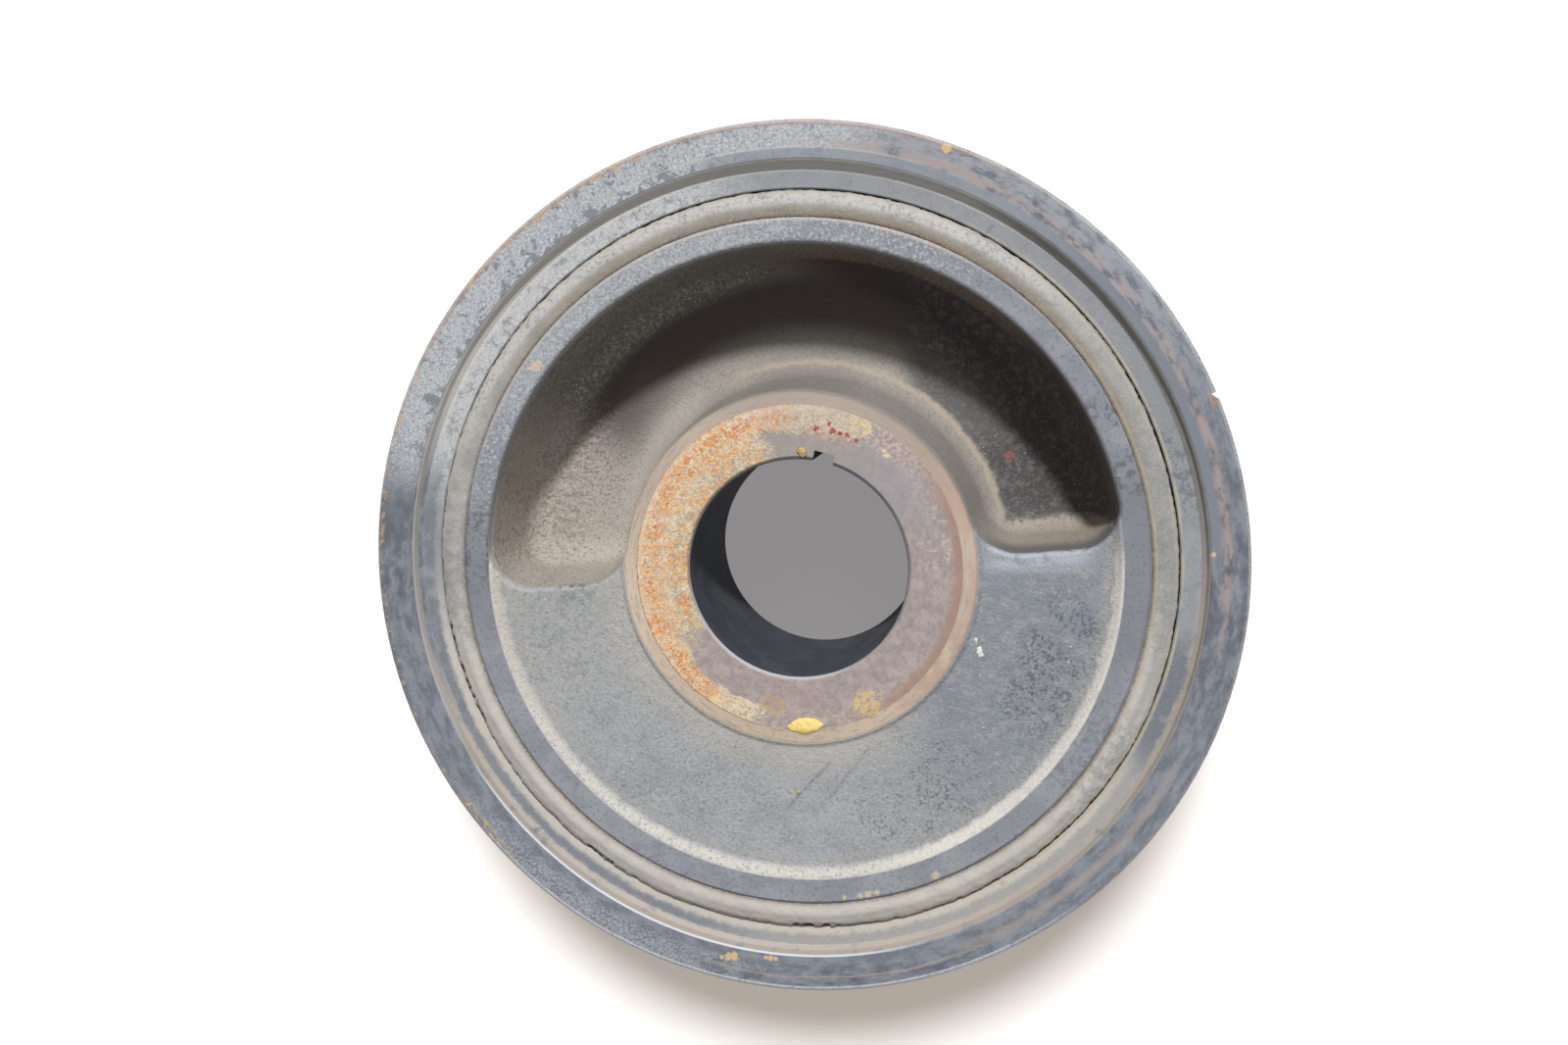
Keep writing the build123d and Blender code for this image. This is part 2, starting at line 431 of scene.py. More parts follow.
# %% Worn patch at the upper left
worn = both(sector(80, 166, 6), flange)
coat((178, 181, 186), worn, 0.92)
coat((216, 218, 219), worn, specks(0.6, 0.5, rough=0.8, seed=5.0), 0.75)
coat((132, 136, 143), worn, specks(0.7, 0.45, rough=0.8, seed=25.0), 0.65)
near_edges = either(
    rise(radius, 96.4, 93.4),
    both(rise(radius, 98.6, 101.0), 0.8),
)
island_noise = noise(3.6, 6.0, 0.72, bend=0.9, seed=6.0)
islands = rise(ring.math("MULTIPLY_ADD", near_edges, 0.08, island_noise), 0.57, 0.62)
coat((114, 119, 128), worn, islands, 0.8)
hatching = both(sector(98, 124, 5), rise(radius, 95.5, 97.0))
coat((92, 97, 105), worn, hatching, rise(across, 0.46, 0.38), specks(2.4, 0.6, seed=7.0), 0.85)
coat((214, 216, 219), worn, rise(across, 0.57, 0.68), specks(2.5, 0.6, seed=2.0), 0.5)
coat((118, 122, 129), worn, rise(turning, 0.66, 0.74), 0.4)
smooth_inner = both(band(radius, 92.9, 95.2, 0.2), sector(2, 102, 6))
coat((140, 145, 154), smooth_inner, 0.8)
coat((122, 126, 135), smooth_inner, sector(2, 50, 10), 0.7)
thin_line = band(radius, 95.25, 95.6, 0.15)
coat((198, 192, 184), thin_line, sector(74, 116, 6), rise(cloud, 0.34, 0.5), 0.7)

# %% Rust and ochre on the flange
wander = ring.math("MULTIPLY_ADD", noise(9.0, 3.0), 1.6, radius)
rust_line = band(wander, 96.4, 98.1, 0.8)
rusty_stretch = both(sector(-8, 84, 10), rise(smears, 0.36, 0.56))
coat((172, 154, 148), rust_line, rusty_stretch, 0.85)
coat((170, 157, 149), band(wander, 96.6, 98.5, 0.6), sector(296, 330, 8), 0.6)
coat((176, 160, 148), band(wander, 98.6, 99.1, 0.3), sector(256, 296, 6), 0.6)
coat((168, 142, 130), band(radius, 100.3, 101.4, 0.2), sector(62, 150, 10), 0.6)
coat((160, 153, 144), band(radius, 93.4, 95.2, 0.4), sector(174, 180, 2), specks(2.2, 0.4), 0.6)
ochre = either(
    both(sector(208, 225, 3), band(radius, 98.9, 102.0, 0.4)),
    both(sector(108, 142, 6), band(radius, 99.6, 102.0, 0.4), 0.8),
    both(sector(150, 200, 6), band(radius, 99.9, 102.0, 0.4), 0.7),
)
coat((200, 166, 120), ochre, specks(2.0, 0.4, seed=9.0))
ochre_places = ((-17.0, -93.8, 1.1), (-18.7, -93.7, 0.9), (-20.2, -94.1, 0.6), (-9.5, -93.5, 0.6))
ochre_places += ((-8.4, -93.6, 0.7), (-7.2, -93.7, 0.6), (93.2, 3.6, 0.6))
ochre_spots = either(*[spot(*place, 1.2) for place in ochre_places], spot(34.7, 94.0, 1.1, 1.0))
coat((220, 188, 132), ochre_spots, 0.9)

# %% The step inside the flange, and the edges
step_floor = rise(radius, step_floor_radius + 0.2, step_floor_radius - 0.1)
coat((160, 163, 166), step_floor, 0.7)
coat((136, 139, 143), step_floor, sector(14, 92, 10), 0.5)
white_stretch = sector(102, 166, 8)
coat((196, 197, 197), step_floor, white_stretch, specks(2.0, 0.85, rough=0.75, seed=12.0), 0.85)
coat((218, 219, 219), step_floor, white_stretch, rise(fine, 0.5, 0.64), 0.6)
coat((152, 155, 160), step_floor, sector(60, 166, 8), rise(fine, 0.44, 0.34), 0.5)
coat((118, 122, 130), step_floor, rise(noise(2.6, 6.0, 0.72, bend=0.9, seed=26.0), 0.6, 0.63), 0.6)
ragged_noise = noise(2.6, 6.0, 0.75, seed=40.0)
ragged = ring.math("MULTIPLY_ADD", ragged_noise, 3.0, ring.math("SUBTRACT", radius, 1.5))
blue_stretch = both(sector(213, 258, 10), band(ragged, 88.8, 90.8, 0.7))
coat((120, 124, 132), step_floor, blue_stretch, 0.75)
coat((170, 167, 162), step_floor, sector(262, 332, 10), 0.75)
coat((106, 111, 121), step_floor, sector(331, 348, 4), rise(cloud, 0.36, 0.5), 0.8)
coat((104, 109, 118), step_floor, sector(8, 20, 3), specks(3.0, 0.5, seed=10.0), 0.7)
dark_left = both(sector(167, 208, 8), band(ragged, 88.2, 91.2, 0.6))
coat((112, 117, 124), step_floor, dark_left, rise(cloud, 0.3, 0.5), 0.75)
inner_dust = both(rise(radius, rubber_outer - 0.4, rubber_outer), rise(ragged, 89.2, 87.6))
coat((208, 200, 188), inner_dust, sector(186, 326, 10), rise(cloud, 0.26, 0.42), 0.85)
seam = band(radius, rubber_outer - 0.2, rubber_outer + 0.8, 0.2)
coat((186, 176, 158), seam, sector(-60, 60, 14), rise(cloud, 0.34, 0.5), 0.8)
dusty_foot = both(rise(ragged, 90.4, 91.4), rise(radius, flange_radius - 0.1, flange_radius - 0.5))
coat((178, 167, 155), dusty_foot, sector(198, 366, 10), rise(cloud, 0.28, 0.46), 0.85)
coat((198, 191, 182), band(radius, 92.0, 92.8, 0.2), sector(150, 204, 8), 0.7)
# Painted light: the step's wall and foot on the upper side are painted pale, and a middle tone further
# right, to soften the flange's shadow there.
coat((208, 204, 197), band(radius, 90.4, 92.8, 0.4), sector(58, 160, 10), 0.85)
coat((156, 150, 140), band(radius, 91.2, 92.8, 0.3), sector(6, 58, 8), 0.75)
coat((128, 128, 130), step_floor, rise(fine, 0.42, 0.34), 0.4)
coat((205, 203, 200), step_floor, rise(fine, 0.6, 0.68), 0.35)
glint = band(radius, flange_radius - 0.35, flange_radius + 0.05, 0.1)
coat((214, 217, 226), glint, sector(214, 282, 8), 0.85)
worn_corner = band(radius, ring_radius - 0.7, ring_radius - 0.1, 0.15)
coat((182, 180, 178), worn_corner, rise(fine, 0.35, 0.6), ring.outside(sector(170, 205, 6)), 0.7)
# Painted reflection: a pale line along the outer edge on the lower side.
painted_reflection_edge = both(band(radius, ring_radius - 1.25, ring_radius, 0.15), sector(226, 304, 12))
coat((208, 211, 218), painted_reflection_edge, rise(fine, 0.3, 0.5), 0.75)
notch_angle = 22.5
notch_depth = band(radius, ring_radius - 2.0, ring_radius - 0.6, 0.3)
coat((176, 144, 128), sector(notch_angle - 0.9, notch_angle + 0.9, 0.6), notch_depth, 0.8)
outer_wall = both(
    rise(radius, ring_radius - 0.4, ring_radius - 0.1),
    rise(height, ring_top - 1.0, ring_top - 2.4),
)
coat((112, 117, 126), outer_wall, 0.9)
coat((138, 142, 150), outer_wall, rise(smears, 0.46, 0.6), 0.6)
coat((152, 124, 104), outer_wall, rise(cloud, 0.58, 0.66), rise(fine, 0.4, 0.56), 0.6)

# %% Relief and gloss of the ring
grain = ring.math("MULTIPLY_ADD", across, 0.4, fine)
normal = ring.bump(grain, 0.08)
ring_material = ring.done(ring.math("MULTIPLY_ADD", fine, 0.3, 0.42), normal)
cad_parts["inertia_ring"].data.materials.clear()
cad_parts["inertia_ring"].data.materials.append(ring_material)

# %% [markdown]
# ## Hub
#
# The hub shows the most kinds of surface. The end of the boss was machined and has
# rusted: a crust of cream, ochre and orange on one side, and a thin purple brown film
# on the other. The rim is machined and clean. The web between them is raw casting with
# dust in its corners, and the pocket is coarse and browned with baked dirt. The pocket's
# floor under the rim and at the right is painted darker still, as painted shade, its
# lips carry painted highlights, and the shoulder of the boss is painted lighter below
# and darker above, as painted light and shade.

# %% Masks for the hub's zones
hub = Finish("hub_iron_weathered", 150, 154, 159)
coat, rise, band, both, either, sector, specks, spot, noise, radius, height = hub.words()
bore_radius = 25.4
washer_recess_radius = 30.0
boss_end_radius = 37.9
shoulder_radius = 41.1
rim_radius = 74.0
web_height = ring_top - 2.0
pocket_floor = ring_top - 28.0
pulley_face_height = 24.0
cloud = noise(8.0, 5.0)
blotch = noise(3.0, 5.0, 0.65)
grain = noise(0.7, 5.0, 0.75)
speck = noise(0.3, 3.0, 0.7)
end_face = both(
    rise(radius, boss_end_radius + 0.1, boss_end_radius - 0.1),
    rise(height, hub_top - 0.6, hub_top - 0.3),
)
shoulder = both(
    band(radius, boss_end_radius, shoulder_radius + 0.2, 0.12),
    rise(height, hub_top - 2.1, hub_top - 1.8),
)
rim_face = both(
    rise(radius, rim_radius - 0.1, rim_radius + 0.2),
    rise(height, ring_top - 1.0, ring_top - 0.4),
)
bore_wall = rise(radius, washer_recess_radius - 2.0, washer_recess_radius - 2.2)
in_pocket = rise(height, web_height - 0.4, web_height - 2.0)
pulley_side = both(
    rise(height, pulley_face_height, pulley_face_height - 2.0),
    rise(radius, washer_recess_radius - 2.2, washer_recess_radius - 1.6),
)
wavering = hub.math("MULTIPLY_ADD", blotch, 2.4, hub.math("SUBTRACT", radius, 1.2))

# %% The raw casting of the web
coat((163, 165, 165), rise(noise(0.9, 4.0, 0.7, seed=1.0), 0.44, 0.56), 0.75)
coat((178, 180, 183), sector(200, 294, 14), rise(cloud, 0.3, 0.6), 0.6)
coat((120, 126, 137), rise(grain, 0.55, 0.64), 0.6)
coat((190, 190, 188), rise(grain, 0.43, 0.36), 0.5)
coat((128, 135, 146), sector(-50, 6, 14), rise(blotch, 0.36, 0.56), 0.6)
cracks = band(noise(4.5, 6.0, 0.7, bend=1.0, seed=32.0), 0.494, 0.506, 0.008)
coat((84, 90, 100), cracks, sector(-60, 4, 12), rise(grain, 0.62, 0.45), 0.55)
pitted_sector = both(sector(-34, -8, 8), band(wavering, 54.0, 71.0, 3.0))
coat((88, 92, 101), pitted_sector, specks(0.8, 0.5, rough=0.75, seed=2.0), rise(cloud, 0.42, 0.52), 0.85)
lower_pits = both(sector(-76, -44, 8), rise(cloud, 0.45, 0.56))
coat((100, 105, 113), lower_pits, specks(0.7, 0.42, seed=4.0), 0.8)
near_boss = rise(wavering, 54.0, 42.0)
coat((186, 181, 173), near_boss, sector(180, 300, 20), 0.75)
coat((186, 182, 176), sector(176, 214, 12), specks(2.0, 0.7, rough=0.78, seed=44.0), 0.5)
coat((112, 116, 122), sector(180, 262, 14), specks(0.8, 0.3, rough=0.8, seed=45.0), 0.5)
# Painted shade: a thin dark line at the foot of the boss on its lower side.
coat((116, 108, 94), band(radius, 42.0, 42.6, 0.2), sector(196, 352, 8), 0.2)
glitter = rise(noise(0.6, 1.0, 0.5, seed=5.0), 0.75, 0.78)
coat((226, 227, 228), glitter, 0.9)

# %% Scratches on the web, and the pale band at the foot of the rim
def scratch(finish, start, end, width):
    """1 along a line from start to end, seen from above, that sways a little on the way."""
    sway = 1.6
    run = Vector((end[0] - start[0], end[1] - start[1], 0.0))
    away = finish.vector("SUBTRACT", finish.place, (*start, 0.0))
    along = finish.vector("DOT_PRODUCT", away, tuple(run.normalized()))
    aside = finish.vector("DOT_PRODUCT", away, (-run.normalized().y, run.normalized().x, 0.0))
    bent = finish.math("ADD", aside, finish.math("MULTIPLY", finish.noise(3.0), sway))
    line = finish.band(bent, (sway - width) / 2, (sway + width) / 2, 0.3)
    return finish.both(line, finish.band(along, 0.0, run.length, 1.0))


coat((104, 110, 118), scratch(hub, (6.4, -46.2), (-4.0, -57.4), 0.7), rise(grain, 0.6, 0.42), 0.75)
coat((108, 113, 121), scratch(hub, (15.7, -42.4), (6.0, -55.0), 0.8), rise(grain, 0.58, 0.42), 0.6)
on_the_web = rise(height, web_height - 0.6, web_height - 0.2)
foot_of_rim = both(band(wavering, rim_radius - 2.3, rim_radius + 0.2, 0.7), on_the_web)
foot_sector = sector(176, 363, 5)
coat((210, 205, 196), foot_of_rim, foot_sector, rise(grain, 0.7, 0.46), 0.95)
coat((176, 170, 160), band(wavering, 68.8, 72.0, 1.2), foot_sector, rise(grain, 0.6, 0.44), 0.4)
coat((196, 184, 172), foot_of_rim, sector(182, 204, 6), 0.3)
coat((228, 222, 214), foot_of_rim, sector(290, 360, 10), 0.6)

# %% The pocket: dusty at the left, browned and painted with shade under the rim, gritty and painted with shade at the right
coat((160, 153, 144), in_pocket, 0.9)
coat((132, 126, 120), in_pocket, rise(grain, 0.52, 0.62), 0.7)
coat((184, 177, 166), in_pocket, rise(grain, 0.42, 0.34), 0.4)
# The floor under the rim is painted dark brown: partly baked dirt, partly painted shade where the lamp's
# shadow falls.
grime_and_painted_shade_under_rim = both(in_pocket, rise(radius, 49.0, 58.0))
coat((74, 63, 56), grime_and_painted_shade_under_rim, sector(46, 152, 12), 0.93)
pocket_tilt = radians(4.2)
sideways = hub.math("MULTIPLY", hub.x, -sin(pocket_tilt))
across_end = hub.math("MULTIPLY_ADD", hub.y, cos(pocket_tilt), sideways)
end_line = hub.math("MULTIPLY_ADD", blotch, 4.0, across_end)
# The floor at the right end is painted dark: partly oily grit, partly painted shade where the lamps' shadow
# falls.
floor_sides = both(rise(hub.x, 20.0, 30.0), rise(wavering, 46.6, 48.4))
right_floor_grit_and_shade = both(in_pocket, rise(end_line, 5.6, 7.4), floor_sides)
coat((70, 71, 74), right_floor_grit_and_shade, 0.95)
coat((108, 107, 107), right_floor_grit_and_shade, sector(34, 60, 8), band(wavering, 46.4, 56.0, 1.5), 0.6)
coat((124, 122, 121), right_floor_grit_and_shade, specks(2.0, 0.45, rough=0.8, seed=33.0), 0.6)
coat((132, 130, 128), right_floor_grit_and_shade, rise(grain, 0.42, 0.32), 0.7)
coarse = both(in_pocket, sector(92, 156, 10), rise(wavering, 64.5, 70.0))
coat((132, 127, 118), coarse, 0.85)
coat((188, 187, 178), coarse, specks(0.8, 0.5, rough=0.8, seed=6.0), sector(104, 156, 14), 0.75)
coat((80, 74, 68), coarse, specks(0.8, 0.4, rough=0.8, seed=26.0), 0.65)
browned_edge = both(in_pocket, rise(radius, 70.6, 71.8), sector(48, 96, 10))
coat((176, 158, 144), browned_edge, rise(grain, 0.62, 0.44), 0.75)
middle_left = both(in_pocket, sector(132, 166, 8), band(wavering, 52.0, 61.0, 3.0))
coat((112, 105, 100), middle_left, 0.5)
dusty_left = both(in_pocket, sector(154, 192, 8))
coat((190, 182, 172), dusty_left, rise(grain, 0.66, 0.45), 0.85)
gritty_left = both(in_pocket, sector(148, 184, 8), rise(wavering, 56.0, 61.0))
coat((132, 121, 108), gritty_left, specks(1.3, 0.42, rough=0.75, seed=41.0), 0.65)
coat((208, 200, 188), gritty_left, specks(0.9, 0.35, rough=0.75, seed=42.0), 0.5)
by_the_boss = both(in_pocket, rise(wavering, 51.0, 47.0))
coat((192, 184, 174), by_the_boss, sector(128, 170, 8), 0.6)
# Painted shade: the floor beside the boss is darkened where the edge of the lamp's shadow falls.
coat((126, 120, 117), by_the_boss, sector(76, 104, 8), 0.4)
foot_dust = both(in_pocket, rise(end_line, 6.4, 5.2), rise(hub.x, 40.0, 48.0))
coat((176, 163, 148), foot_dust, rise(grain, 0.7, 0.4), 0.85)
high_up = rise(height, web_height - 12.6, web_height - 4.6)
coat((98, 98, 102), foot_dust, high_up, 0.8)
ragged_noise = noise(1.6, 4.0, 0.7, seed=27.0)
ragged_radius = hub.math("MULTIPLY_ADD", ragged_noise, 2.2, hub.math("SUBTRACT", wavering, 1.1))
dust_line = band(ragged_radius, 46.0, 47.0, 0.8)
low_down = band(height, pocket_floor - 0.6, pocket_floor + 6.4, 1.0)
coat((190, 173, 151), dust_line, low_down, sector(12, 112, 8), 0.75)
coat((146, 96, 84), in_pocket, spot(47.7, 23.3, 1.3, 1.2), 0.8)
coat((128, 98, 82), right_floor_grit_and_shade, specks(0.7, 0.3, seed=7.0), 0.6)
rim_edge_rust = both(
    band(radius, rim_radius - 1.2, rim_radius + 0.2, 0.3),
    band(height, ring_top - 5.6, ring_top - 1.0, 0.5),
)
coat((120, 90, 70), rim_edge_rust, sector(12, 64, 8), 0.7)
# Painted highlights: the rounded lips of the pocket are painted pale, and so is the web beside the right
# lip; a dark crack mark lies on the left lip.
lip = band(height, web_height - 2.0, web_height - 0.1, 0.5)
right_lip_highlight = both(lip, band(hub.x, 42.0, 67.0, 2.5), band(hub.y, -1.0, 5.0, 0.6))
left_lip_highlight = both(lip, band(hub.x, -73.0, -46.0, 2.0), band(hub.y, -9.0, -2.0, 0.6))
painted_highlight_by_lip = both(band(across_end, -3.4, -1.4, 0.9), band(hub.x, 44.0, 65.0, 3.0))
web_surface = rise(height, web_height - 0.3, web_height - 0.1)
coat((180, 186, 197), painted_highlight_by_lip, web_surface, rise(blotch, 0.3, 0.55), 0.7)
coat((200, 206, 217), right_lip_highlight, rise(blotch, 0.36, 0.5), 0.75)
coat((176, 177, 177), left_lip_highlight, rise(blotch, 0.4, 0.55), 0.6)
dark_bit = band(hub.x, -58.0, -49.0, 1.5)
coat((78, 76, 74), left_lip_highlight, dark_bit, rise(noise(1.4, 3.0, seed=43.0), 0.46, 0.54), 0.7)

# %% The machined rim
coat((138, 142, 149), rim_face)
coat((154, 157, 162), rim_face, rise(cloud, 0.4, 0.62), 0.8)
fine_grain = noise(0.4, 4.0, 0.75, seed=8.0)
coat((180, 182, 185), rim_face, sector(96, 150, 14), rise(fine_grain, 0.42, 0.56), 0.8)
coat((174, 176, 179), rim_face, rise(fine_grain, 0.58, 0.68), 0.5)
coat((112, 116, 123), rim_face, rise(fine_grain, 0.4, 0.32), 0.5)
coat((122, 126, 132), rim_face, either(sector(-16, 16, 6), sector(170, 190, 6)), 0.6)
rim_dark = either(
    sector(13, 19, 2),
    sector(24, 29, 2),
    sector(170, 182, 4),
    both(sector(321, 336, 5), 0.5),
)
coat((92, 96, 102), rim_face, rim_dark, specks(1.6, 0.5, seed=34.0), 0.8)
coat((198, 201, 205), rim_face, sector(60, 168, 12), specks(0.7, 0.42, seed=30.0), 0.7)
coat((108, 113, 121), rim_face, specks(0.8, 0.3, seed=31.0), 0.6)
coat((196, 188, 178), rim_face, band(radius, 79.2, 79.9, 0.15), sector(62, 160, 10), 0.5)
tan_places = ((13.4, -77.6, 0.7), (15.2, -77.2, 0.8), (17.2, -76.6, 0.7), (31.1, -72.2, 0.9))
tan_bits = either(*[spot(*place, 1.6) for place in (*tan_places, (9.5, -78.2, 0.6))])
coat((214, 192, 168), rim_face, either(tan_bits, spot(-60.6, 47.3, 1.6, 1.1)), 0.7)

# %% The shoulder of the boss
coat((202, 186, 168), shoulder)
# Painted light and shade: the shoulder is painted lighter on its lower side and darker on its upper side.
coat((238, 218, 194), shoulder, sector(180, 330, 26), 0.95)
coat((148, 134, 123), shoulder, sector(24, 112, 18), 0.7)
coat((148, 134, 123), shoulder, sector(24, 158, 18), 0.35)
coat((166, 152, 140), shoulder, rise(grain, 0.5, 0.66), 0.4)
shoulder_wear = rise(polar_grain(hub, 5.0, 1.0, 0.5, seed=35.0), 0.5, 0.64)
coat((138, 124, 114), shoulder, shoulder_wear, 0.4)
coat((190, 156, 142), shoulder, sector(-52, 34, 18), rise(noise(5.0, 3.0), 0.3, 0.6), 0.6)
coat((150, 132, 120), shoulder, rise(radius, 40.6, 41.2), sector(-30, 150, 14), 0.6)

# %% The film of rust on the end of the boss
coat((158, 147, 146), end_face)
coat((174, 160, 156), end_face, rise(noise(1.8, 5.0, 0.7, seed=10.0), 0.42, 0.58), 0.8)
wear_rings = rise(polar_grain(hub, 6.0, 1.0, 0.5, seed=11.0), 0.5, 0.64)
coat((140, 122, 118), end_face, wear_rings, 0.5)
coat((116, 103, 100), end_face, rise(speck, 0.58, 0.68), 0.6)
coat((218, 202, 192), end_face, rise(noise(0.5, 3.0, 0.7, seed=12.0), 0.62, 0.7), 0.5)
mottled = rise(noise(3.2, 6.0, 0.72, bend=0.7, seed=36.0), 0.48, 0.58)
coat((186, 170, 163), end_face, mottled, 0.55)
pale_film = both(end_face, sector(0, 36, 10), band(wavering, 29.5, 36.0, 1.5))
coat((214, 197, 190), pale_film, specks(1.4, 0.36, bend=0.6, seed=13.0), 0.6)
coat((156, 154, 161), end_face, sector(24, 62, 12), rise(wavering, 36.0, 33.0), 0.55)
lower_film = both(end_face, sector(252, 318, 12), rise(wavering, 31.0, 35.0))
coat((200, 183, 170), lower_film, specks(1.2, 0.55, seed=37.0), 0.6)
upper_film = both(end_face, sector(40, 92, 12), rise(wavering, 31.5, 34.5))
coat((206, 190, 178), upper_film, specks(1.0, 0.6, seed=38.0), 0.7)
brown_edge = both(end_face, sector(-64, 30, 16), rise(wavering, 34.8, 37.0))
coat((164, 128, 110), brown_edge, 0.7)

# %% The crust of rust, in curdled layers
drift = hub.math("SUBTRACT", noise(4.0, 6.0, 0.75, bend=0.5, seed=22.0), 0.5)
outer_reach = both(sector(64, 222, 16), rise(wavering, 28.5, 34.5))
tail = both(sector(196, 254, 8), rise(wavering, 32.4, 34.6))
inner_reach = sector(104, 212, 16)
reach_of_rust = either(outer_reach, tail, inner_reach)
spread = hub.math("MULTIPLY_ADD", drift, 2.2, reach_of_rust)
crust = both(end_face, rise(spread, 0.3, 0.8))
coat((156, 152, 145), end_face, sector(60, 104, 12), rise(wavering, 32.0, 29.0), 0.6)
coat((212, 200, 180), crust, 0.95)
coat((158, 152, 134), crust, rise(noise(1.8, 6.0, 0.78, bend=0.6, seed=23.0), 0.5, 0.6), 0.7)
coat((232, 214, 180), crust, specks(1.5, 0.6, rough=0.78, bend=0.8, seed=14.0), 0.85)
coat((250, 234, 204), crust, specks(0.8, 0.5, rough=0.78, bend=1.2, seed=15.0), 0.85)
coat((236, 200, 134), crust, sector(118, 250, 16), specks(2.4, 0.5, bend=0.6, seed=16.0), 0.5)
coat((204, 187, 174), crust, sector(52, 100, 10), 0.6)
olive = specks(1.6, 0.6, rough=0.8, bend=0.8, seed=46.0)
coat((168, 158, 136), crust, rise(wavering, 31.5, 28.5), olive, 0.6)
coat((136, 124, 100), crust, specks(1.1, 0.3, rough=0.82, bend=1.0, seed=47.0), 0.6)
patchy = rise(noise(5.0, 4.0, 0.65, seed=39.0), 0.4, 0.54)
outer_crust = both(crust, rise(wavering, 30.5, 34.0))
orange_zone = either(
    both(outer_crust, sector(96, 236, 14), hub.math("MULTIPLY_ADD", patchy, 0.4, 0.6)),
    both(crust, sector(106, 206, 18), patchy, 0.7),
)
orange_veins = specks(1.2, 0.56, rough=0.84, bend=1.4, seed=17.0)
coat((242, 188, 122), orange_zone, specks(2.0, 0.56, rough=0.82, bend=0.8, seed=24.0), 0.6)
coat((230, 134, 60), orange_zone, orange_veins, 0.95)
coat((184, 88, 42), orange_zone, orange_veins, specks(0.6, 0.36, rough=0.75, seed=18.0), 0.8)
coat((112, 104, 92), crust, specks(0.5, 0.24, rough=0.8, seed=19.0), 0.5)
coat((246, 228, 200), end_face, band(ragged_radius, 36.6, 37.8, 0.5), sector(84, 214, 10), 0.3)

# %% Single marks on the end of the boss
red_zone = either(spot(6.0, 32.6, 3.2, 1.0), spot(11.6, 31.0, 3.6, 1.0))
coat((204, 156, 140), end_face, red_zone, specks(0.8, 0.4, seed=28.0), 0.6)
red_places = ((4.9, 32.4, 0.65, 1.4), (7.9, 33.4, 0.5, 1.4), (8.6, 31.8, 0.7, 1.6))
red_places += ((10.4, 31.3, 0.5, 1.6), (11.9, 30.8, 0.5, 1.6), (14.0, 29.6, 0.5, 1.6))
coat((176, 72, 50), end_face, either(*[spot(*place) for place in red_places]), 0.9)
cream_places = ((16.2, 32.4, 1.7, 1.4), (20.9, 26.1, 0.7, 1.4), (20.3, 27.3, 0.5, 1.4))
cream_places += ((-20.6, -31.6, 1.6, 1.0),)
cream_marks = either(both(spot(14.6, 33.4, 2.2, 1.4), 0.6), *[spot(*place) for place in cream_places])
coat((234, 212, 166), end_face, cream_marks, specks(0.7, 1.0, rough=0.8, seed=48.0), 0.85)
coat((196, 158, 112), end_face, spot(-6.1, -31.9, 3.0, 1.0), specks(0.8, 0.6, seed=20.0), 0.85)
coat((216, 188, 124), end_face, spot(15.6, -31.2, 3.4, 1.0), specks(0.9, 0.75, seed=21.0), 0.85)

# %% The bore and the hidden side
below_the_end = rise(height, hub_top - 0.5, hub_top - 0.8)
coat((64, 69, 77), bore_wall, below_the_end)
coat((84, 90, 99), bore_wall, below_the_end, rise(cloud, 0.44, 0.62), 0.6)
# Painted glint: a pale line on the bore's edge on its lower side.
painted_glint_bore_edge = both(
    band(radius, bore_radius - 0.1, bore_radius + 0.5, 0.12),
    rise(height, hub_top - 1.0, hub_top - 0.7),
)
coat((196, 198, 204), painted_glint_bore_edge, sector(200, 290, 14), 0.6)
coat((120, 121, 122), pulley_side)
coat((146, 138, 128), pulley_side, rise(cloud, 0.45, 0.62), 0.6)

# %% Relief and gloss of the hub
cast = either(both(rise(radius, 41.3, 41.8), rise(radius, 74.0, 73.2)), in_pocket)
rough_height = both(cast, hub.math("ADD", grain, blotch))
lumpy = either(coarse, gritty_left)
rough_height = hub.math("ADD", rough_height, both(lumpy, noise(1.8, 5.0, 0.7), 3.4))
crust_height = both(crust, noise(1.0, 5.0, 0.75, bend=0.8), 1.1)
relief = hub.math("MULTIPLY_ADD", speck, 0.12, hub.math("ADD", rough_height, crust_height))
normal = hub.bump(relief, 0.32)
glossy_lip = both(either(right_lip_highlight, left_lip_highlight), -0.25)
shine = hub.math("ADD", hub.math("MULTIPLY_ADD", grain, 0.3, 0.5), glossy_lip)
hub_material = hub.done(shine, normal)
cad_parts["hub"].data.materials.clear()
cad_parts["hub"].data.materials.append(hub_material)

# %% [markdown]
# ## Rubber ring
#
# The rubber was pressed into the gap, and its top swells out in a rounded bead. Old
# rubber turns grey and holds dust. Along the hub it is browner, where grime packs the
# seam, and at the outer edge it has pulled away from the iron in a ragged crack. The
# bead also carries painted light and shade: lighter on its lower half, darker on the
# inner slope of its upper half, with a painted highlight on the upper outer slope.

# %% Finish of the rubber
rubber = Finish("rubber_dusty", 154, 152, 148)
coat, rise, band, both, either, sector, specks, spot, noise, radius, height = rubber.words()
cloud = noise(7.0, 5.0)
fine = noise(0.5, 5.0, 0.7)
coat((174, 171, 166), rise(cloud, 0.36, 0.62))
